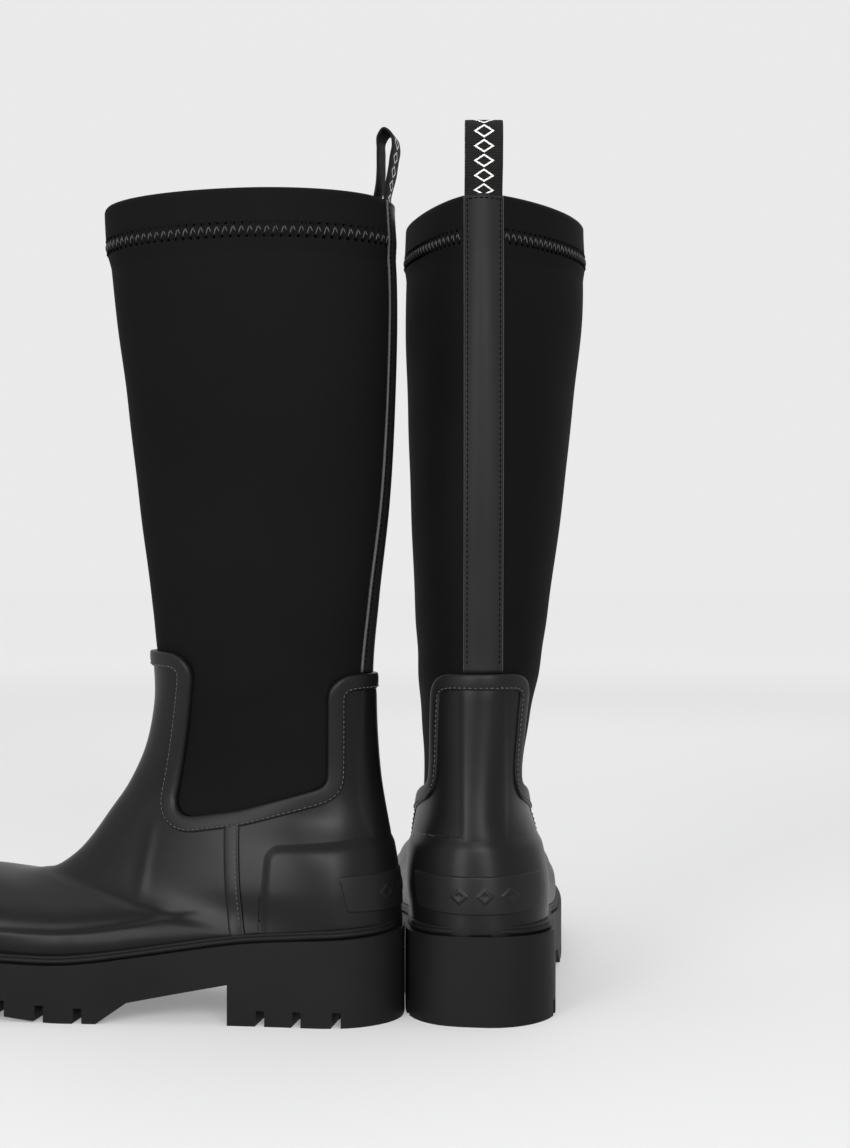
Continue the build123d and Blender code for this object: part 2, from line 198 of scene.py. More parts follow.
def flare(p):
    """Swelling of the foot's lower sides, in mm, at points of one boot."""
    x, z = p[:, 0], p[:, 2]
    return 1.7 * (1 - smooth(68, 112, z)) * smooth(44, 66, z) * smooth(12, 34, x) * (1 - smooth(135, 165, x))


class Upper:
    """The smooth body of one boot. u is millimetres along it from above the rim to the toe, a the angle
    round a section, 0 at the back and pi at the front."""

    def __init__(self, name):
        self.name = name
        self.rows = np.array(SHAFTS[name] + FOOT)
        self.knots = run_along((self.rows[:, :2] + self.rows[:, 2:4]) / 2)
        self.end = self.knots[-1]

    def point(self, u, a, grow):
        """Points on the upper, grown outwards."""
        u, a, grow = np.broadcast_arrays(np.asarray(u, float), np.asarray(a, float), np.asarray(grow, float))
        bx, bz, fx, fz, half, widest, rear_power, front_power, shift, pull = np.moveaxis(
            hermite(self.knots, self.rows, np.clip(u, 0, self.end)), -1, 0)
        forward = grow * np.maximum(0, (bx - 150) / (SOLE_LENGTH - 160)) ** 2
        length = np.hypot(fx - bx, fz - bz)
        ax, az = (fx - bx) / length, (fz - bz) / length
        c, s = np.cos(a), np.sin(a)
        rear = c > 0
        power = np.where(rear, rear_power, front_power)
        reach = np.maximum(1.2, grow + length * np.where(rear, widest, 1 - widest))
        ahead = -np.sign(c) * np.abs(c) ** (2 / power) * reach
        side = np.sign(s) * np.abs(s) ** (2 / power) * np.maximum(1.2, half + grow)
        side = side + shift - pull * np.maximum(0, -ahead / reach) ** 2
        along = widest * length + ahead
        return np.stack([bx + ax * along + forward, side, bz + az * along], axis=-1)

    def normal(self, u, a):
        """Outward unit normals."""
        du = self.point(u + 0.4, a, 1) - self.point(u - 0.4, a, 1)
        da = self.point(u, a + 0.01, 1) - self.point(u, a - 0.01, 1)
        n = np.cross(da, du)
        n /= np.linalg.norm(n, axis=-1, keepdims=True) + 1e-12
        out = self.point(u, a, 3) - self.point(u, a, 0)
        return n * np.sign((n * out).sum(-1, keepdims=True))

    def angles(self, u, count, start=0.0, end=TAU):
        """Angles that space a section's points evenly."""
        fine = np.linspace(start, end, 1441)
        grid = self.point(u[:, None], fine[None, :], 1)
        steps = np.linalg.norm(np.diff(grid, axis=1), axis=-1)
        run = np.concatenate([np.zeros((len(u), 1)), np.cumsum(steps, axis=1)], axis=1)
        shares = np.linspace(0, 1, count)
        return np.array([np.interp(shares * r[-1], r, fine) for r in run])

    def locate(self, x, z, outer=True):
        """(u, a) of the surface point that shows at x, z from the side; past the outline it stops there."""
        x, z = np.asarray(x, float), np.asarray(z, float)

        def section(u):
            row = hermite(self.knots, self.rows, u)
            return row, row[..., 2] - row[..., 0], row[..., 3] - row[..., 1], x - row[..., 0], z - row[..., 1]

        def below(u):
            _, dx, dz, px, pz = section(u)
            return dx * pz - dz * px < 0

        u = bisect(np.full(x.shape, 0.0), np.full(x.shape, self.end), 40, below)
        row, dx, dz, px, pz = section(u)
        length, widest = np.hypot(dx, dz), row[..., 5]
        ahead = (px * dx + pz * dz) / length - widest * length
        rear = ahead < 0
        reach = length * np.where(rear, widest, 1 - widest)
        cosine = np.clip(np.abs(ahead) / reach, 0, 1) ** (np.where(rear, row[..., 6], row[..., 7]) / 2)
        angle = np.arccos(np.clip(np.where(rear, cosine, -cosine), -1, 1))
        return np.stack([u, angle if outer else -angle], axis=-1)

    def level(self, a, z, grow):
        """u where the surface reaches height z in the leg."""
        a, z, grow = np.broadcast_arrays(np.asarray(a, float), np.asarray(z, float), np.asarray(grow, float))
        return bisect(np.zeros(a.shape), np.full(a.shape, self.knots[7]), 32,
                      lambda u: self.point(u, a, grow)[..., 2] > z)

    def walk(self, coords, offset):
        """Moves surface coordinates by a small 3-D offset along the surface."""
        here = coords.copy()
        u, a = here.T
        target = self.point(u, a, 0) + offset
        for _ in range(6):
            gap = target - self.point(u, a, 0)
            du = (self.point(u + 0.2, a, 0) - self.point(u - 0.2, a, 0)) / 0.4
            da = (self.point(u, a + 0.004, 0) - self.point(u, a - 0.004, 0)) / 0.008
            uu, aa, ua = (du * du).sum(1) + 1e-4, (da * da).sum(1) + 1.0, (du * da).sum(1)
            gu, ga = (du * gap).sum(1), (da * gap).sum(1)
            det = uu * aa - ua * ua
            u += (gu * aa - ga * ua) / det
            a += (ga * uu - gu * ua) / det
        return here

    def place(self, u, a, grow):
        """Points on the upper in the row's frame."""
        return to_row(self.name, self.point(u, a, grow))

    def outward(self, u, a):
        """Vectors out of the upper in the row's frame."""
        return self.place(u, a, 4) - self.place(u, a, 0)


def to_row(name, points):
    """Boot frame in millimetres to the row's frame in metres."""
    x, y, z = np.moveaxis(np.asarray(points, float), -1, 0)
    heel_x, heel_y = HEEL[name]
    if name == "right":
        out = [heel_x + y, heel_y + x, z]
    else:
        c, s = math.cos(LEFT_TURN), math.sin(LEFT_TURN)
        out = [heel_x + x * c - y * s, heel_y + x * s + y * c, z]
    return np.stack(out, axis=-1) / 1000


# ---- outlines in XZ
def rounded(corners):
    """Closed outline from corners with radii, as many short segments."""
    points = []
    count = len(corners)
    for k, (corner, radius) in enumerate(corners):
        p = np.array(corner, float)
        before, after = np.array(corners[k - 1][0], float), np.array(corners[(k + 1) % count][0], float)
        if not radius:
            points.append(p)
            continue
        d0, d1 = (before - p) / np.linalg.norm(before - p), (after - p) / np.linalg.norm(after - p)
        half = math.acos(np.clip(d0 @ d1, -1, 1)) / 2
        centre = p + (d0 + d1) / np.linalg.norm(d0 + d1) * radius / math.sin(half)
        t0, t1 = p + d0 * radius / math.tan(half), p + d1 * radius / math.tan(half)
        a0 = math.atan2(*(t0 - centre)[::-1])
        sweep = (math.atan2(*(t1 - centre)[::-1]) - a0 + PI) % TAU - PI
        for share in np.linspace(0, 1, 13):
            angle = a0 + sweep * share
            points.append(centre + radius * np.array([math.cos(angle), math.sin(angle)]))
    return np.array(points)


def inside_distance(outline, points):
    """Distance from an outline in XZ, positive inside it."""
    p = np.stack([points[:, 0], points[:, 2]], axis=-1)
    a, b = outline, np.roll(outline, -1, axis=0)
    best = np.full(len(p), 1e9)
    inside = np.zeros(len(p), bool)
    for p0, p1 in zip(a, b):
        d = p1 - p0
        t = np.clip(((p - p0) @ d) / (d @ d + 1e-12), 0, 1)
        best = np.minimum(best, np.hypot(*(p - p0 - t[:, None] * d).T))
        crosses = (p0[1] > p[:, 1]) != (p1[1] > p[:, 1])
        if crosses.any():
            at = p0[0] + (p[:, 1] - p0[1]) / (p1[1] - p0[1] + 1e-15) * d[0]
            inside ^= crosses & (p[:, 0] < at)
    return np.where(inside, best, -best)


GORE_LINE = rounded(GORE + [(corner, 0) for corner in GORE_CLOSING])
COUNTER_LINE = rounded(COUNTER_PANEL)
PATCH_LINE = rounded(HEEL_PATCH)
SOLE_X, SOLE_Z = zip(*SOLE_TOP)


def sole_top(x):
    return hermite(SOLE_X, SOLE_Z, np.clip(x, -8, 298))


def seam_x(z):
    share = np.clip((z - SEAM_FOOT[1]) / (SEAM_HEAD[1] - SEAM_FOOT[1]), 0, 1)
    return SEAM_FOOT[0] + share * (SEAM_HEAD[0] - SEAM_FOOT[0])


# ---- meshes
def new_object(name, data):
    made = bpy.data.objects.new(name, data)
    bpy.context.scene.collection.objects.link(made)
    return made


def build(name, verts, faces, body, slot, material, uv=None, replaces=(), thickness=0.0):
    """A finished piece from points in the row's frame."""
    mesh = bpy.data.meshes.new(name)
    mesh.from_pydata([tuple(v) for v in np.asarray(verts).reshape(-1, 3)], [], [tuple(f) for f in faces])
    if uv is not None:
        layer = mesh.uv_layers.new(name="UVMap")
        flat = np.asarray(uv, float).reshape(-1, 2)
        index = np.empty(len(mesh.loops), np.int32)
        mesh.loops.foreach_get("vertex_index", index)
        layer.data.foreach_set("uv", flat[index].astype(np.float32).ravel())
    bm = bmesh.new()
    bm.from_mesh(mesh)
    bmesh.ops.recalc_face_normals(bm, faces=bm.faces)
    bm.to_mesh(mesh)
    bm.free()
    mesh.validate()
    mesh.shade_smooth()
    piece = new_object(name, mesh)
    mesh.materials.append(material)
    if thickness:
        solid = piece.modifiers.new("thickness", "SOLIDIFY")
        solid.thickness = thickness / 1000
        solid.offset = -1
    if body:
        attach(piece, body)
    if replaces:
        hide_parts(*replaces)
    return piece


def grid_faces(rows, columns, wrap_rows=False, wrap_columns=False, capped=False):
    """Faces of a grid of points; capped closes both ends of a tube."""
    faces = []
    for i in range(rows if wrap_rows else rows - 1):
        for j in range(columns if wrap_columns else columns - 1):
            i1, j1 = (i + 1) % rows, (j + 1) % columns
            faces.append([i * columns + j, i * columns + j1, i1 * columns + j1, i1 * columns + j])
    if capped:
        faces += [list(range(columns)), list(range((rows - 1) * columns, rows * columns))]
    return faces


def surface_grid(upper, u_values, columns, start=0.0, end=TAU):
    """Even grid of surface coordinates; a full turn shares its first and last column."""
    full = abs(end - start - TAU) < 1e-9
    angle = upper.angles(u_values, columns + 1 if full else columns, start, end)
    if full:
        angle = angle[:, :-1]
    coords = np.stack([np.repeat(u_values[:, None], angle.shape[1], 1), angle], -1).reshape(-1, 2)
    return coords, grid_faces(len(u_values), angle.shape[1], wrap_columns=full)


def clip(upper, coords, faces, field):
    """Keeps the part of a sheet where the field is positive and cuts its faces along the edge."""
    value = field(upper.point(*coords.T, SKIN))
    value[np.abs(value) < EDGE_SNAP] = 0
    points = [tuple(c) for c in coords]
    cuts, kept = {}, []
    for face in faces:
        signs = [value[i] for i in face]
        if max(signs) <= 0:
            continue
        if min(signs) >= 0:
            kept.append(face)
            continue
        ring = []
        for i, j in zip(face, face[1:] + face[:1]):
            if value[i] >= 0:
                ring.append(i)
            if value[i] * value[j] < 0:
                key = (min(i, j), max(i, j))
                if key not in cuts:
                    share = value[i] / (value[i] - value[j])
                    turn = (points[j][1] - points[i][1] + PI) % TAU - PI
                    cuts[key] = len(points)
                    points.append((points[i][0] + share * (points[j][0] - points[i][0]),
                                   points[i][1] + share * turn))
                ring.append(cuts[key])
        if len(ring) > 2:
            kept.append(ring)
    used = sorted({i for face in kept for i in face})
    place = {old: new for new, old in enumerate(used)}
    return np.array([points[i] for i in used]), [[place[i] for i in face] for face in kept]


def sheet(upper, name, coords, faces, height, **rest):
    """A sheet on the upper, at the height that a function gives for its points."""
    skin = upper.point(*coords.T, SKIN)
    raised = upper.place(*coords.T, height(skin))
    return build(f"{upper.name}_{name}", raised, faces, uv=skin[:, [0, 2]] / 1000, **rest)


def resample(upper, path, spacing, closed=False):
    """Even spacing along a path of surface coordinates."""
    run = run_along(upper.point(*path.T, SKIN))
    keep = np.concatenate([[True], np.diff(run) > 1e-6])
    path, run = path[keep], run[keep]
    count = max(4, int(round(run[-1] / spacing)))
    at = np.linspace(0, run[-1], count + 1)
    if closed:
        at = at[:-1]
    return np.stack([np.interp(at, run, path[:, 0]), np.interp(at, run, path[:, 1])], -1)


def across(upper, path, closed):
    """Unit vectors on the surface square to a path."""
    p = upper.point(*path.T, SKIN)
    tangent = unit(np.roll(p, -1, 0) - np.roll(p, 1, 0) if closed else np.gradient(p, axis=0))
    return unit(np.cross(upper.normal(*path.T), tangent))


def lifted(upper, coords, height):
    """Points in the row's frame at a height over the foot's swelling."""
    u, a = coords.T
    return upper.place(u, a, height + flare(upper.point(u, a, 0.0)))


def ribbon(upper, name, path, profile, closed, **rest):
    """Sweeps a closed cross section along a path: profile holds (distance across, height)."""
    side = across(upper, path, closed)
    rings = [lifted(upper, upper.walk(path, side * distance), height) for distance, height in profile]
    faces = grid_faces(len(path), len(profile), wrap_rows=closed, wrap_columns=True, capped=not closed)
    return build(f"{upper.name}_{name}", np.stack(rings, 1), faces, **rest)


def threads(name, starts, ends, normals, radius, bulge, **rest):
    """Short raised threads from start to end, all in the row's frame, in one mesh."""
    along = ends - starts
    length = np.linalg.norm(along, axis=1, keepdims=True)
    along = along / length
    normals = unit(normals - (normals * along).sum(1, keepdims=True) * along)
    sideways = np.cross(along, normals)
    rings, sides = 5, 6
    verts, faces = [], []
    for k in range(rings):
        share = k / (rings - 1)
        lift = math.sin(PI * share) * bulge - 0.35 * bulge
        size = radius * (0.55 + 0.45 * math.sin(PI * share) ** 0.5)
        middle = starts + along * length * share + normals * lift / 1000
        for q in range(sides):
            angle = TAU * q / sides
            verts.append(middle + (normals * math.cos(angle) + sideways * math.sin(angle)) * size / 1000)
    verts = np.stack(verts, 1)
    size = rings * sides
    pattern = grid_faces(rings, sides, wrap_columns=True, capped=True)
    for n in range(len(starts)):
        faces += [[n * size + i for i in face] for face in pattern]
    return build(name, verts, faces, **rest)


def seams(upper, name, path, distance, height, length, pitch=2.5, radius=0.24, closed=False, **rest):
    """A row of stitches beside a path on the upper."""
    line = resample(upper, upper.walk(path, across(upper, path, closed) * distance), pitch, closed)
    tangent = np.cross(across(upper, line, closed), upper.normal(*line.T))
    starts, ends = (lifted(upper, upper.walk(line, tangent * sign * length), height) for sign in (-0.5, 0.5))
    return threads(f"{upper.name}_{name}", starts, ends, upper.outward(*line.T), radius, 0.3, **rest)


# ---- materials
def fill_in(node, values):
    """Sets constants on a shader node's sockets."""
    for socket, value in values.items():
        node.inputs[socket].default_value = value
    return node


def material(name, colour, roughness, specular=0.3, spread=0.25, spread_scale=60.0, rough_spread=0.06,
             grain=((900, 0.00012, 0.5),), sheen=0.0, metallic=0.0):
    """A surface with slow colour and gloss changes and one or more grains of (scale, depth, strength)."""
    mat = bpy.data.materials.new(name)
    mat.use_nodes = True
    nodes, links = mat.node_tree.nodes, mat.node_tree.links
    surface = fill_in(nodes["Principled BSDF"], {"Specular IOR Level": specular, "Metallic": metallic})
    if sheen:
        fill_in(surface, {"Sheen Weight": sheen, "Sheen Roughness": 0.5})
    where = nodes.new("ShaderNodeTexCoord")
    slow = fill_in(nodes.new("ShaderNodeTexNoise"), {"Scale": spread_scale, "Detail": 3})
    links.new(where.outputs["Object"], slow.inputs["Vector"])
    shade = nodes.new("ShaderNodeValToRGB")
    low, high = shade.color_ramp.elements
    low.position, high.position = NOISE_LOW, NOISE_HIGH
    low.color = [c * (1 - spread) for c in colour] + [1]
    high.color = [c * (1 + spread) for c in colour] + [1]
    links.new(slow.outputs["Fac"], shade.inputs["Fac"])
    links.new(shade.outputs["Color"], surface.inputs["Base Color"])
    gloss = fill_in(nodes.new("ShaderNodeMapRange"), {
        "From Min": NOISE_LOW, "From Max": NOISE_HIGH,
        "To Min": roughness - rough_spread, "To Max": roughness + rough_spread})
    links.new(slow.outputs["Fac"], gloss.inputs["Value"])
    links.new(gloss.outputs["Result"], surface.inputs["Roughness"])
    normal = None
    for scale, depth, strength in grain:
        fine = fill_in(nodes.new("ShaderNodeTexNoise"), {"Scale": scale, "Detail": 2})
        links.new(where.outputs["Object"], fine.inputs["Vector"])
        bump = fill_in(nodes.new("ShaderNodeBump"), {"Distance": depth, "Strength": strength})
        links.new(fine.outputs["Fac"], bump.inputs["Height"])
        if normal:
            links.new(normal, bump.inputs["Normal"])
        normal = bump.outputs["Normal"]
    links.new(normal, surface.inputs["Normal"])
    return mat


def chain(mat, *steps):
    """Runs a value through a row of math nodes: each step is (operation, other operand)."""
    nodes, links = mat.node_tree.nodes, mat.node_tree.links
    value = steps[0]
    for operation, other in steps[1:]:
        node = nodes.new("ShaderNodeMath")
        node.operation = operation
        links.new(value, node.inputs[0])
        if isinstance(other, (int, float)):
            node.inputs[1].default_value = other
        elif other is not None:
            links.new(other, node.inputs[1])
        value = node.outputs[0]
    return value


def paint(mat, mask, colour):
    """Mixes a colour over the material's own where the mask is 1."""
    nodes, links = mat.node_tree.nodes, mat.node_tree.links
    target = nodes["Principled BSDF"].inputs["Base Color"]
    mix = nodes.new("ShaderNodeMix")
    mix.data_type = "RGBA"
    links.new(mask, mix.inputs["Factor"])
    links.new(target.links[0].from_socket, mix.inputs["A"])
    mix.inputs["B"].default_value = list(colour) + [1]
    links.new(mix.outputs["Result"], target)


def press(mat, height, depth):
    """Adds a bump from a height value under the material's grain."""
    nodes, links = mat.node_tree.nodes, mat.node_tree.links
    target = nodes["Principled BSDF"].inputs["Normal"]
    bump = fill_in(nodes.new("ShaderNodeBump"), {"Distance": depth})
    links.new(height, bump.inputs["Height"])
    links.new(target.links[0].from_socket, bump.inputs["Normal"])
    links.new(bump.outputs["Normal"], target)


def uv_axes(mat):
    nodes, links = mat.node_tree.nodes, mat.node_tree.links
    where = nodes.new("ShaderNodeTexCoord")
    split = nodes.new("ShaderNodeSeparateXYZ")
    links.new(where.outputs["UV"], split.inputs["Vector"])
    return split.outputs["X"], split.outputs["Y"]


NEOPRENE = material("neoprene_knit", (0.0042, 0.0042, 0.0043), 0.72, specular=0.03, spread=0.16,
                    spread_scale=9, grain=((1500, 0.00016, 0.8), (420, 0.00012, 0.35)))
LINING = material("lining_jersey", (0.016, 0.016, 0.017), 0.85, specular=0.15, spread_scale=30,
                  grain=((1300, 0.0002, 0.9),), sheen=0.05)
RUBBER_SATIN = material("foot_rubber_satin", (0.0042, 0.0042, 0.0043), 0.36, specular=0.15, spread=0.12,
                        spread_scale=14, rough_spread=0.05,
                        grain=((1100, 0.00003, 0.35), (45, 0.0006, 0.25)))
RUBBER_TRIM = material("trim_rubber_satin", (0.0062, 0.0062, 0.0063), 0.42, specular=0.16, spread=0.12,
                       spread_scale=25, grain=((1100, 0.00003, 0.4), (90, 0.0003, 0.25)))
RUBBER_SOLE = material("sole_rubber_matt", (0.0056, 0.0056, 0.0057), 0.52, specular=0.10, spread=0.12,
                       spread_scale=18, grain=((1600, 0.00006, 0.5), (60, 0.0004, 0.2)))
STRIP = material("strip_leather", (0.0095, 0.0095, 0.0095), 0.50, specular=0.12, spread=0.08, spread_scale=40,
                 grain=((1400, 0.00006, 0.5), (260, 0.00008, 0.3)))
# The third thread colour does two jobs: near-black stitch thread on the back strip, and painted shade in the
# collar, where near-black spots without gloss stand in for the shadow inside the needle-hole dimples.
THREAD, THREAD_PALE, THREAD_DARK_AND_HOLE_SHADE = (
    material(f"thread_{label}", colour, roughness, specular=specular, spread=0.2, spread_scale=400,
             grain=((3500, 0.0001, 0.8),))
    for label, colour, roughness, specular in (("grey", (0.060, 0.060, 0.061), 0.6, 0.3),
                                               ("pale", (0.048, 0.048, 0.049), 0.6, 0.2),
                                               ("dark", (0.0004, 0.0004, 0.0004), 0.95, 0.0)))
BOARD = material("fibre_board", (0.42, 0.36, 0.28), 0.85, spread=0.15, spread_scale=120,
                 grain=((700, 0.0002, 0.6),))
FOAM = material("footbed_fabric", (0.022, 0.022, 0.024), 0.85, specular=0.15, spread_scale=50,
                grain=((1200, 0.0002, 0.8),), sheen=0.05)
STEEL = material("spring_steel", (0.5, 0.5, 0.52), 0.32, spread=0.06, spread_scale=200, metallic=1.0,
                 grain=((900, 0.00003, 0.4),))

strip_u, _ = uv_axes(STRIP)
cut_edge = chain(STRIP, strip_u, ("ABSOLUTE", None), ("GREATER_THAN", 0.475))
paint(STRIP, cut_edge, (0.055, 0.055, 0.054))


def webbing(name, motif):
    """Ribbed webbing, with or without a plain chain of white lozenges woven down its middle."""
    mat = material(name, (0.0085, 0.0085, 0.0087), 0.72, specular=0.08, spread=0.2, spread_scale=300,
                   grain=((2200, 0.0001, 0.5),))
    u, v = uv_axes(mat)
    if motif:
        along = chain(mat, v, ("MULTIPLY", 1000 / MOTIF_PITCH), ("FRACT", None), ("SUBTRACT", 0.5),
                      ("ABSOLUTE", None), ("MULTIPLY", 2.0))
        ring = chain(mat, u, ("ABSOLUTE", None), ("MULTIPLY", 3.6), ("ADD", along), ("SUBTRACT", 0.78),
                     ("ABSOLUTE", None), ("LESS_THAN", 0.13))
        paint(mat, ring, (0.62, 0.62, 0.6))
    press(mat, chain(mat, v, ("MULTIPLY", TAU * 1000 / RIB_PITCH), ("SINE", None)), 0.00012)
    return mat


WEBBING = webbing("woven_webbing", False)
MOTIF = webbing("woven_webbing_motif", True)


# ---- pieces
def waves(p, size, phase=0.0):
    """Slow uneven swell of a soft wall."""
    x, y, z = p[:, 0], p[:, 1], p[:, 2]
    return size * (np.sin(z / 23 + 0.8 * np.sin(x / 31 + phase)) * np.sin(y / 19 + x / 37 + phase)
                   + 0.6 * np.sin(z / 11 + x / 17 + 2 * phase) * np.sin(y / 13 - z / 29))


def shaft_height(p):
    x, z = p[:, 0], p[:, 2]
    ankle = np.exp(-((z - 168) / 26) ** 2)
    folds = ankle * 0.35 * np.sin(z / 5.5 + x / 24) * smooth(30, 60, x)
    return SKIN + waves(p, 0.28) + folds


def rubber_height(p):
    """The rubber foot with its rand, the ridge down its side and the creases of its instep."""
    x, y, z = p.T
    height = np.full(len(p), RUBBER) + waves(p, 0.14, 1.0) + flare(p)
    rise = z - sole_top(x)
    rand_line = 12.5 - 1.5 * smooth(100, 135, x)
    rand = (1 - smooth(rand_line - 1.6, rand_line + 1.2, rise)) * smooth(82, 125, x)
    valley = np.exp(-((rise - rand_line - 1.5) / 2.2) ** 2) * smooth(90, 135, x)
    height += 0.8 * rand - 0.35 * valley
    ridge_x = 127.5 - (z - 49) * 5.5 / 45
    ridge = np.exp(-((x - ridge_x) / 2.6) ** 2) * smooth(50, 58, z) * (1 - smooth(88, 100, z))
    trough = np.exp(-((x - ridge_x - 6) / 4.0) ** 2) * smooth(50, 58, z) * (1 - smooth(84, 96, z))
    height += (0.6 * ridge - 0.3 * trough) * smooth(8, 20, np.abs(y))
    instep = np.exp(-((x + 0.55 * z - 186) / 5.0) ** 2) + 0.7 * np.exp(-((x + 0.5 * z - 198) / 6.0) ** 2)
    height += 0.35 * instep * smooth(108, 122, x) * (1 - smooth(150, 172, x))
    spine = (1 - smooth(9.0, 11.2, np.abs(y - STRIP_Y))) * (1 - smooth(30, 45, x)) * smooth(84, 92, z)
    height += 0.55 * spine * (1 - smooth(158, 166, z))
    return height


def counter_height(p):
    return COUNTER + flare(p) + 1.3 * smooth(0, 6.5, inside_distance(COUNTER_LINE, p))


def patch_height(p):
    """The heel patch with a raised edge and a row of lozenges."""
    x, y, z = p.T
    height = PATCH + flare(p) + 0.95 * smooth(0, 0.7, inside_distance(PATCH_LINE, p))
    middle = 0.5 * (73.3 + 54.0)
    step = np.mod(y - STRIP_Y + LOZENGE_PITCH / 2, LOZENGE_PITCH) - LOZENGE_PITCH / 2
    size = np.abs(step) / 4.2 + np.abs(z - middle) / 4.4
    lozenge = (1 - smooth(0.72, 1.0, size)) - 0.9 * (1 - smooth(0.28, 0.5, size))
    return height + 0.4 * lozenge * (np.abs(y - STRIP_Y) < LOZENGE_PITCH * 1.5) * (x < 25)


def rows_between(upper, x0, z0, x1, z1, spacing):
    """u values from the section through one XZ point to the section through another."""
    first, last = upper.locate([x0, x1], [z0, z1])[:, 0]
    return np.linspace(first, last, max(3, int(abs(last - first) / spacing)))


def gore_path(upper):
    """The opening's edge right round the leg, as a closed and smoothed path of surface coordinates."""
    dense = []
    for p0, p1 in zip(GORE_LINE, np.roll(GORE_LINE, -1, axis=0)):
        count = max(1, int(np.hypot(*(p1 - p0)) / 0.6))
        dense += [p0 + (p1 - p0) * k / count for k in range(count)]
    dense = np.array(dense)
    dense = dense[(dense[:, 1] < 190) & (dense[:, 0] > -8) & (dense[:, 0] < 140)]
    start = np.argmax(dense[:, 0] * (dense[:, 1] > 150))
    dense = np.roll(dense, -start, axis=0)
    outer = upper.locate(*dense.T)
    shown = upper.point(*outer.T, SKIN)
    held = (np.hypot(shown[:, 0] - dense[:, 0], shown[:, 2] - dense[:, 1]) < 0.2)
    held &= (outer[:, 1] > 0.16) & (outer[:, 1] < PI - 0.16)
    outer, heights = outer[held], dense[held, 1]
    front = [[float(upper.level(PI, heights[0], SKIN)), PI]]
    back = [[float(upper.level(0.0, heights[-1], SKIN)), 0.0]]
    outer = np.vstack([front, outer, back])
    path = resample(upper, np.vstack([outer, outer[-2::-1] * [1, -1]]), 1.6, closed=True)
    turns = np.unwrap(path[:, 1])
    smooth_u = sum(np.roll(path[:, 0], k) for k in (-2, -1, 0, 1, 2)) / 5
    offsets = sum(np.roll(np.exp(1j * turns), k) for k in (-1, 0, 1))
    return np.stack([smooth_u, np.angle(offsets)], -1)


def strip_coords(upper, z, y, grow):
    """Surface coordinates of points on the back of the leg at heights z and widths y."""
    a = bisect(np.full(np.shape(z), -1.25), np.full(np.shape(z), 1.25), 18,
               lambda a: upper.point(upper.level(a, z, grow), a, grow)[..., 1] < y)
    return upper.level(a, z, grow), a


def over_band(z):
    """Lift of the strip where it lies on the band and the webbing's end."""
    return 1.05 * smooth(375, 387, z)


def strip_piece(upper, body):
    """The smooth strip down the back of the leg and its rows of stitches."""
    rows = np.concatenate([np.linspace(404.6, 380, 26), np.linspace(378, 170.5, 100)])
    edge = [(-9.8, 0.15), (-9.8, 0.75), (-9.62, 0.98), (-9.2, 1.06), (-8.6, 1.04), (-STRIP_STITCH_Y, 0.86),
            (-7.5, 1.04), (-4, 1.08), (0, 1.1)]
    profile = edge + [(-y, h) for y, h in edge[-2::-1]] + [(5, 0.15), (0, 0.15), (-5, 0.15)]
    y, lift = np.array(profile).T
    y = y + STRIP_Y
    z = np.repeat(rows[:, None], len(y), 1)
    grow = lift[None, :] + over_band(z)
    ends = smooth(404.7, 403.9, z) * 0.5 + 0.5
    grow = np.where(lift[None, :] > 0.3, grow * ends, grow - 0.2)
    u, a = strip_coords(upper, z, np.repeat(y[None, :], len(rows), 0), grow)
    uv = np.stack([np.repeat(((y - STRIP_Y) / (2 * STRIP_HALF))[None, :], len(rows), 0), z / 1000], -1)
    build(f"{upper.name}_back_strip", upper.place(u, a, grow),
          grid_faces(len(rows), len(y), wrap_columns=True, capped=True), body, "strip_leather", STRIP, uv=uv,
          replaces=[f"{upper.name}_back_strip"])
    starts, ends, outward = [], [], []

    def stitch_row(z, y, dz, dy):
        """Stitches from (z + dz, y + dy) to (z - dz, y - dy)."""
        for sign, store in ((1, starts), (-1, ends)):
            at_z, at_y = np.broadcast_arrays(z + sign * dz, y + sign * dy)
            height = 0.95 + over_band(at_z)
            u, a = strip_coords(upper, at_z, at_y, height)
            store.append(upper.place(u, a, height))
        outward.append(upper.outward(u, a))

    for side in (-STRIP_STITCH_Y, STRIP_STITCH_Y):
        stitch_row(np.arange(402.0, 174.0, -2.6), side + STRIP_Y, 0.85, 0)
    stitch_row(402.3, np.arange(-6.5, 7.0, 2.6) + STRIP_Y, 0, -0.85)
    threads(f"{upper.name}_strip_stitches", *map(np.vstack, (starts, ends, outward)), 0.26, 0.12, body=body,
            slot="strip_leather", material=THREAD_DARK_AND_HOLE_SHADE)


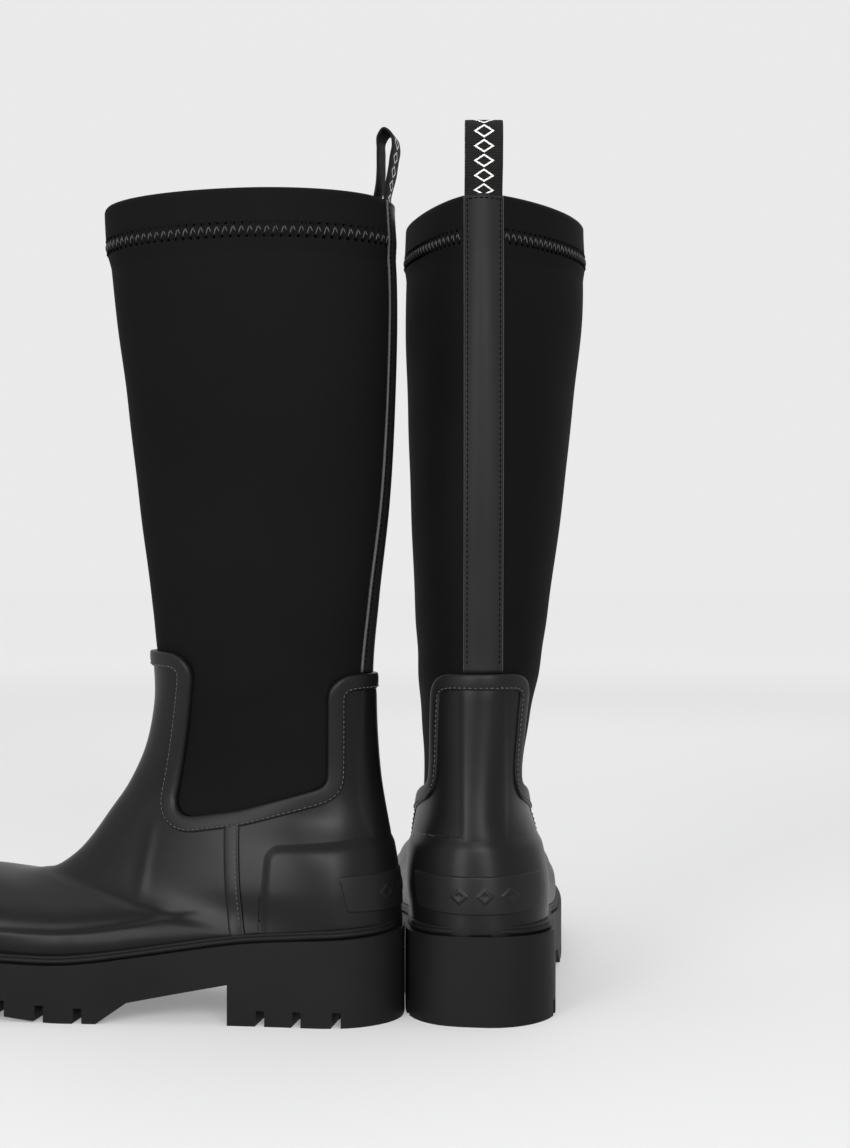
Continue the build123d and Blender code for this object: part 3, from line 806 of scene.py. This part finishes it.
def collar_piece(upper, body):
    """The turned-over band at the rim, drawn in by its zigzag stitch row."""
    columns = 520
    fine = np.linspace(0, TAU, 2001)
    loop = upper.point(upper.level(fine, STITCH_ROW, BAND), fine, BAND)
    run = run_along(loop)
    length = run[-1]
    count = int(round(length / ZIGZAG_PITCH))
    s = np.arange(columns) * length / columns
    angle = np.interp(s, run, fine)
    radius = 3.3
    middle = BAND - radius
    outside = np.concatenate([np.linspace(373.5, 379.4, 7), np.linspace(380.0, 389.4, 22),
                              np.linspace(391, RIM - radius, 9)])
    profile = [(z, -0.12 + (BAND + 0.12) * smooth(372.0, 384.5, z), True) for z in outside]
    profile += [(RIM - radius + radius * math.sin(t), middle + radius * math.cos(t), False)
                for t in np.linspace(0, PI, 13)[1:-1]]
    profile += [(z, middle - radius, False) for z in (RIM - radius, 397, 392, 388, 385, 384)]
    profile += [(383.6, -5.0, False), (383.6, -4.0, False), (392, -3.8, False), (400, -3.4, False),
                (400.5, -0.6, False), (392, -0.5, False), (373.5, -0.5, False)]
    z, grow, shown = (np.array(column)[:, None] for column in zip(*profile))
    z, grow = np.repeat(z, columns, 1), np.repeat(grow, columns, 1)
    pitch = length / count
    phase = np.mod(s[None, :] / pitch + 0.5, 1) - 0.5
    pricks = np.zeros_like(z)
    for centre, rise in PRICKS:
        away = np.mod(phase - centre + 0.5, 1) - 0.5
        pricks += np.exp(-(away * pitch / 0.75) ** 2 - ((z - STITCH_ROW - rise) / 0.95) ** 2)
    swell = 0.25 * np.exp(-((z - STITCH_ROW) / 3.4) ** 2)
    a = np.repeat(angle[None, :], len(profile), 0)
    wall = upper.point(upper.level(a, z, SKIN), a, SKIN).reshape(-1, 3)
    wall = waves(wall, 0.28).reshape(z.shape) * (1 - smooth(372, 386, z))
    ripple = 0.12 * np.sin(angle[None, :] * 7 + z / 9) * smooth(372, 386, z)
    grow = grow + shown * (swell + wall - 1.15 * pricks + ripple)
    off_strip = np.abs(np.interp(s, run, loop[:, 1]) - STRIP_Y)
    behind = (np.cos(angle) > 0) * (1 - smooth(9.6, 11.2, off_strip))
    grow = np.where(shown & (grow > 0.4), grow - (grow - 0.4) * behind[None, :], grow)
    faces = grid_faces(len(profile), columns, wrap_rows=True, wrap_columns=True)
    build(f"{upper.name}_collar_band", upper.place(upper.level(a, z, grow), a, grow), faces, body, "neoprene",
          NEOPRENE, replaces=[f"{upper.name}_collar_band"])
    # shine gathers the pale zigzag thread; the other list gathers painted shade: near-black spots sunk into
    # the stitch dimples, standing in for the shadow inside the needle-hole dimples.
    shine, hole_shade_spots = [], []
    for k in range(count):
        at = (k + 0.5) * pitch
        if behind[int(at / length * columns) % columns] > 0.3:
            continue
        for legs, bright in ((((-0.02, 1.75), (-0.30, -0.9)), True), (((0.02, 1.75), (0.36, -2.0)), True),
                             (((-0.12, 4.0), (-0.12, 2.3)), False), (((0.38, -2.3), (0.38, -4.0)), False)):
            spots = []
            lift = 1.5 if bright else 0.75
            for shift, rise in legs:
                angle_at = np.interp(np.mod(at + shift * pitch, length), run, fine)
                u_at = upper.level(angle_at, STITCH_ROW + rise, lift)
                spots.append(upper.point(u_at, angle_at, lift))
            (shine if bright else hole_shade_spots).append([spots[0], spots[1], upper.normal(u_at, angle_at)])
    zero = to_row(upper.name, np.zeros(3))
    # The second row below is painted shade, not thread: near-black spots in the needle-hole dimples.
    for label, rows, radius, finish in (("collar_zigzag", shine, 0.3, THREAD_PALE),
                                        ("collar_needle_hole_shade_spots", hole_shade_spots, 0.8, THREAD_DARK_AND_HOLE_SHADE)):
        start, end, outward = to_row(upper.name, np.array(rows).transpose(1, 0, 2))
        threads(f"{upper.name}_{label}", start, end, outward - zero, radius, 0.4, body=body, slot="neoprene",
                material=finish)


def lip_piece(upper, body):
    """The moulded lip between sole and upper, with its groove."""
    corners = np.array(SOLE_OUTLINE, float)
    closed = np.vstack([corners[-2:], corners, corners[:2]])
    run = run_along(closed)
    fine = hermite(run, closed, np.linspace(run[2], run[-2], 1500)[:-1])
    steps = run_along(fine)
    at = np.linspace(0, steps[-1], 420)
    line = np.stack([np.interp(at, steps, fine[:, 0]), np.interp(at, steps, fine[:, 1])], -1)
    tangent = unit(np.roll(line, -1, 0) - np.roll(line, 1, 0))
    inward = np.stack([tangent[:, 1], -tangent[:, 0]], -1)
    inward *= np.sign((inward * (np.array([145.0, 0.0]) - line)).sum(1).mean())
    profile = [(9.5, -4.3), (3.2, -4.3), (2.5, -4.1), (2.1, -3.6), (1.95, -2.9), (2.0, -2.3), (2.35, -1.95),
               (2.5, -1.75), (2.35, -1.55), (2.1, -1.2), (2.15, -0.7), (2.5, -0.25), (3.1, 0.0), (4.5, 0.05),
               (9.5, 0.0)]
    rings = []
    for inset, rise in profile:
        moved = line + inward * inset
        rings.append(np.column_stack([moved, sole_top(moved[:, 0]) + rise]))
    points = np.stack(rings, 1)
    faces = grid_faces(len(line), len(profile), wrap_rows=True, wrap_columns=True)
    build(f"{upper.name}_welt_lip", to_row(upper.name, points), faces, body, "sole_rubber", RUBBER_SOLE,
          replaces=[f"{upper.name}_welt"])


def copy_node(node, name, body, material, prepare):
    """A finished copy of a CAD node's mesh, with its edges or surface worked over."""
    source = frame["nodes"][node]
    mesh = source.data.copy()
    mesh.name = name
    mesh.materials.clear()
    mesh.materials.append(material)
    piece = new_object(name, mesh)
    piece.matrix_world = source.matrix_world
    prepare(piece)
    bpy.context.view_layer.update()
    evaluated = piece.evaluated_get(bpy.context.evaluated_depsgraph_get())
    final = bpy.data.meshes.new_from_object(evaluated)
    piece.modifiers.clear()
    piece.data = final
    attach(piece, body)
    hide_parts(node)
    return piece


def soften_edges(piece):
    """Joins the flats of a CAD mesh and rounds its edges slightly."""
    bm = bmesh.new()
    bm.from_mesh(piece.data)
    bmesh.ops.remove_doubles(bm, verts=bm.verts, dist=1e-5)
    bmesh.ops.dissolve_limit(bm, angle_limit=math.radians(0.6), verts=bm.verts, edges=bm.edges)
    bm.to_mesh(piece.data)
    bm.free()
    bevel = piece.modifiers.new("edges", "BEVEL")
    bevel.width = 0.0012
    bevel.segments = 3
    bevel.limit_method = "ANGLE"
    bevel.angle_limit = math.radians(38)
    weigh = piece.modifiers.new("normals", "WEIGHTED_NORMAL")
    weigh.mode = "FACE_AREA"
    weigh.keep_sharp = True
    piece.data.shade_smooth()
    piece.data.set_sharp_from_angle(angle=math.radians(40))


def soften_pad(piece):
    """Turns a CAD pad into an even mesh with a rounded edge."""
    remesh = piece.modifiers.new("even", "REMESH")
    remesh.mode = "VOXEL"
    remesh.voxel_size = 0.0016
    remesh.use_smooth_shade = True
    relax = piece.modifiers.new("relax", "SMOOTH")
    relax.factor = 0.5
    relax.iterations = 6


def tab_pieces(upper, name, body):
    """The webbing loop: its standing part is built as a loose piece outside the boot's body, its sewn ends
    stay with the boot.
    """
    line = np.array([(6.4, 389), (6.3, 396), (6.5, 402), (7.3, 406.5), (7.0, 411), (6.0, 418), (4.9, 426),
                     (3.9, 433), (5.2, 438), (8.6, 440.2), (11.2, 437), (11.5, 430), (11.5, 420), (11.6, 412),
                     (12.3, 406.5), (13.3, 402), (13.6, 396), (13.3, 389)], float)
    run = run_along(line)
    at = np.linspace(0, run[-1], 170)
    path = hermite(run, line, at)
    tangent = unit(np.gradient(path, axis=0))
    outward = np.stack([-tangent[:, 1], tangent[:, 0]], -1)
    half = 9.3
    section = [(inset - half, h) for inset, h in ((0, 0), (0.15, 0.42), (0.6, 0.6), (1.2, 0.5), (1.5, 0.58))]
    section += [(y, 0.58) for y in (-5.5, -3, 0, 3, 5.5)]
    section += [(-y, h) for y, h in section[4::-1]]
    section += [(y, -h) for y, h in section[-2:0:-1]]
    ribs = 0.05 * np.sin(at * TAU / RIB_PITCH)
    widths = np.array([y for y, _ in section]) + STRIP_Y
    rim_level, over_rim = 401.0, 1.0
    bow, middle = (
        upper.point(*strip_coords(upper, np.full(len(y), rim_level), y, over_rim), over_rim)[:, 0]
        for y in (widths, np.array([STRIP_Y])))
    bow = bow - middle[0]
    flat = 1 - smooth(405, 422, path[:, 1])
    points, uv = [], []
    for (y, h), curve in zip(section, bow):
        depth = h + np.sign(h) * ribs * (abs(y) < half - 1)
        p = path + outward * depth[:, None]
        points.append(np.column_stack([p[:, 0] + curve * flat, np.full(len(p), y + STRIP_Y), p[:, 1]]))
        uv.append(np.column_stack([np.full(len(p), (y / 20) if h > 0.2 else 0.49), at / 1000]))
    points, uv = np.stack(points, 1), np.stack(uv, 1)
    standing = np.where(path[:, 1] > 404.2)[0]
    first, last = standing[0], standing[-1]

    def part(label, i, j, **rest):
        faces = grid_faces(j - i + 1, len(section), wrap_columns=True, capped=True)
        return build(f"{name}_{label}", to_row(name, points[i:j + 1]), faces, slot="webbing", uv=uv[i:j + 1],
                     **rest)

    loop = part("pull_tab_loop", first, last, body=None, material=MOTIF)
    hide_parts(f"{name}_pull_tab")
    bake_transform(loop)
    for label, i, j in (("outside", 0, first), ("inside", last, len(path) - 1)):
        part(f"pull_tab_end_{label}", i, j, body=body, material=WEBBING, replaces=[f"{name}_pull_tab_root"])


def boot(name):
    """All pieces of one boot."""
    upper = Upper(name)
    body = name + "_boot"
    foot = {"body": body, "slot": "foot_rubber", "material": RUBBER_SATIN}
    trim = {"body": body, "slot": "trim_rubber", "material": RUBBER_TRIM}

    def node(label):
        return f"{name}_{label}"

    def within_gore(p):
        return inside_distance(GORE_LINE, p)

    def over_sole(p):
        return p[:, 2] - sole_top(p[:, 0])

    def cut_sheet(coords, faces, *fields):
        for field in fields:
            coords, faces = clip(upper, coords, faces, field)
        return coords, faces

    # neoprene bootie and its lining
    top = upper.knots[1] * 0.6
    coords, faces = cut_sheet(*surface_grid(upper, np.linspace(top, upper.knots[13], 190), 190),
                              lambda p: within_gore(p) + 5.5, lambda p: SHAFT_TOP - p[:, 2])
    sheet(upper, "shaft", coords, faces, shaft_height, body=body, slot="neoprene", material=NEOPRENE,
          replaces=[node("shaft")], thickness=3.0)
    coords, faces = cut_sheet(*surface_grid(upper, np.linspace(top, upper.end - 3, 230), 120),
                              lambda p: LINING_TOP - p[:, 2])
    sheet(upper, "lining", coords, faces, lambda p: np.full(len(p), LINING_FACE), body=body,
          slot="lining_knit", material=LINING, replaces=[node("lining")], thickness=1.0)

    # rubber foot in two shells
    around = 230
    coords, faces = surface_grid(upper, np.linspace(upper.knots[5], upper.end, 230), around)
    faces.append(list(range(len(coords) - around, len(coords))))
    coords, faces = cut_sheet(coords, faces, lambda p: -within_gore(p) - 0.5, lambda p: over_sole(p) + 6)
    for label, sign in (("vamp", 1), ("quarter", -1)):
        shell = cut_sheet(coords, faces, lambda p: sign * (p[:, 0] - seam_x(p[:, 2])) + 0.3)
        sheet(upper, label, *shell, rubber_height, replaces=[node(label)], thickness=1.3, **foot)

    # binding along the opening, its stitches on the side that faces the opening
    path = gore_path(upper)
    profile = [(-1.0, -0.3), (-1.0, 2.5), (-0.8, 3.15), (-0.3, 3.5), (0.5, 3.68), (1.8, 3.78), (3.3, 3.8),
               (4.9, 3.72), (6.1, 3.5), (6.75, 3.15), (7.0, 2.6), (7.0, 1.7)]
    probe = upper.walk(path, across(upper, path, True) * 3)
    flip = -1 if np.median(within_gore(upper.point(*probe.T, 0))) > 0 else 1
    ribbon(upper, "binding", path, [(flip * d, h) for d, h in profile], True, replaces=[node("binding")],
           **trim)
    seams(upper, "binding_stitches", path, flip * 5.75, 3.68, length=1.55, closed=True, body=body,
          slot="trim_rubber", material=THREAD)

    # seam tapes
    half_tape = [(-3.75, 1.8), (-3.75, 2.9), (-3.45, 3.25), (-2.6, 3.42)]
    heights = np.linspace(41, 101, 60)
    for label, outer in (("outer", True), ("inner", False)):
        tape = resample(upper, upper.locate(seam_x(heights), heights, outer), 1.3)
        ribbon(upper, f"seam_tape_{label}", tape,
               half_tape + [(0, 3.48)] + [(-d, h) for d, h in half_tape[::-1]], False,
               replaces=[node("seam_tapes")], **foot)
        rear = 1 if np.median(across(upper, tape, False)[:, 0]) < 0 else -1
        seams(upper, f"seam_stitches_{label}", tape[6:-5], rear * 2.0, 3.42, length=1.5, body=body,
              slot="foot_rubber", material=THREAD)

    # heel counter relief and the label patch on it
    rows = rows_between(upper, 20, 100, 75, 34, 1.1)
    coords, faces = cut_sheet(*surface_grid(upper, rows, 190, -2.05, 2.05),
                              lambda p: inside_distance(COUNTER_LINE, p), lambda p: over_sole(p) + 4)
    sheet(upper, "heel_counter", coords, faces, counter_height, replaces=[node("heel_counter")],
          thickness=0.8, **foot)
    rows = rows_between(upper, 10, 80, 28, 48, 0.35)
    coords, faces = cut_sheet(*surface_grid(upper, rows, 290, -1.5, 1.5),
                              lambda p: inside_distance(PATCH_LINE, p))
    sheet(upper, "heel_patch", coords, faces, patch_height, replaces=[node("heel_patch")], thickness=0.6,
          **trim)

    strip_piece(upper, body)
    collar_piece(upper, body)
    lip_piece(upper, body)
    tab_pieces(upper, name, body)
    copy_node(node("outsole"), node("lug_sole"), body, RUBBER_SOLE, soften_edges)
    pad = copy_node(node("footbed"), node("footbed_pad"), body, FOAM, soften_pad)
    for label, finish in (("lasting_board", BOARD), ("toe_puff", BOARD), ("shank", STEEL)):
        mesh = frame["nodes"][node(label)].data
        mesh.materials.clear()
        mesh.materials.append(finish)


for boot_name in ("left", "right"):
    boot(boot_name)

# ---- floor, light and camera
floor_mesh = bpy.data.meshes.new("floor")
floor_mesh.from_pydata([(-20, -20, 0), (20, -20, 0), (20, 20, 0), (-20, 20, 0)], [], [(0, 1, 2, 3)])
floor = new_object("floor", floor_mesh)
floor_paint = bpy.data.materials.new("floor_pale")
floor_paint.use_nodes = True
nodes, links = floor_paint.node_tree.nodes, floor_paint.node_tree.links
diffuse = fill_in(nodes["Principled BSDF"], {
    "Base Color": (0.86, 0.86, 0.86, 1), "Roughness": 0.9, "Specular IOR Level": 0.1})
glow = nodes.new("ShaderNodeEmission")
where = nodes.new("ShaderNodeTexCoord")
away = nodes.new("ShaderNodeVectorMath")
away.operation = "LENGTH"
links.new(where.outputs["Object"], away.inputs[0])
fade = fill_in(nodes.new("ShaderNodeMapRange"), {
    "From Min": 0.3, "From Max": 3.5, "To Min": 0.49, "To Max": 0.91})
fade.interpolation_type = "SMOOTHSTEP"
links.new(away.outputs["Value"], fade.inputs["Value"])
links.new(fade.outputs["Result"], glow.inputs["Color"])
blend_floor = fill_in(nodes.new("ShaderNodeMixShader"), {"Fac": 0.5})
links.new(diffuse.outputs["BSDF"], blend_floor.inputs[1])
links.new(glow.outputs["Emission"], blend_floor.inputs[2])
links.new(blend_floor.outputs["Shader"], nodes["Material Output"].inputs["Surface"])
floor_mesh.materials.append(floor_paint)

world = bpy.data.worlds.new("studio")
world.use_nodes = True
fill_in(world.node_tree.nodes["Background"], {"Color": (0.825, 0.825, 0.83, 1), "Strength": 1.0})
bpy.context.scene.world = world

LIGHT_TARGET = np.array([0.02, -0.1, 0.2])
for name, place, size, power, spread in (("key", (0.68, -1.75, 0.5), (0.4, 0.8), 1.1, 70),
                                         ("key_high", (0.42, -1.75, 1.0), (1.1, 0.5), 3.2, 70),
                                         ("key_left", (-0.95, -1.75, 0.72), (0.8, 1.1), 5.5, 80),
                                         ("side_left", (-1.3, -0.7, 0.9), (0.5, 1.2), 1.2, 180),
                                         ("top", (0.0, 0.1, 1.7), (1.4, 0.8), 5.5, 180),
                                         ("back", (0.3, 1.5, 1.2), (1.2, 1.0), 5, 180)):
    data = bpy.data.lights.new(name, "AREA")
    data.shape = "RECTANGLE"
    data.size, data.size_y = size
    data.energy = power
    data.spread = math.radians(spread)
    softbox = new_object(name, data)
    softbox.location = place
    aim = LIGHT_TARGET - np.array(place)
    softbox.rotation_euler = (math.atan2(math.hypot(aim[0], aim[1]), -aim[2]), 0, math.atan2(-aim[0], aim[1]))

camera_data = bpy.data.cameras.new("camera")
camera_data.lens = 55.19
camera_data.sensor_width = 36
camera = new_object("camera", camera_data)
camera.location = (0.105477, -0.991294, 0.2193)
camera.rotation_euler = (PI / 2, 0, 0)
bpy.context.scene.camera = camera
bpy.context.scene.view_settings.view_transform = "Standard"

bpy.context.view_layer.update()
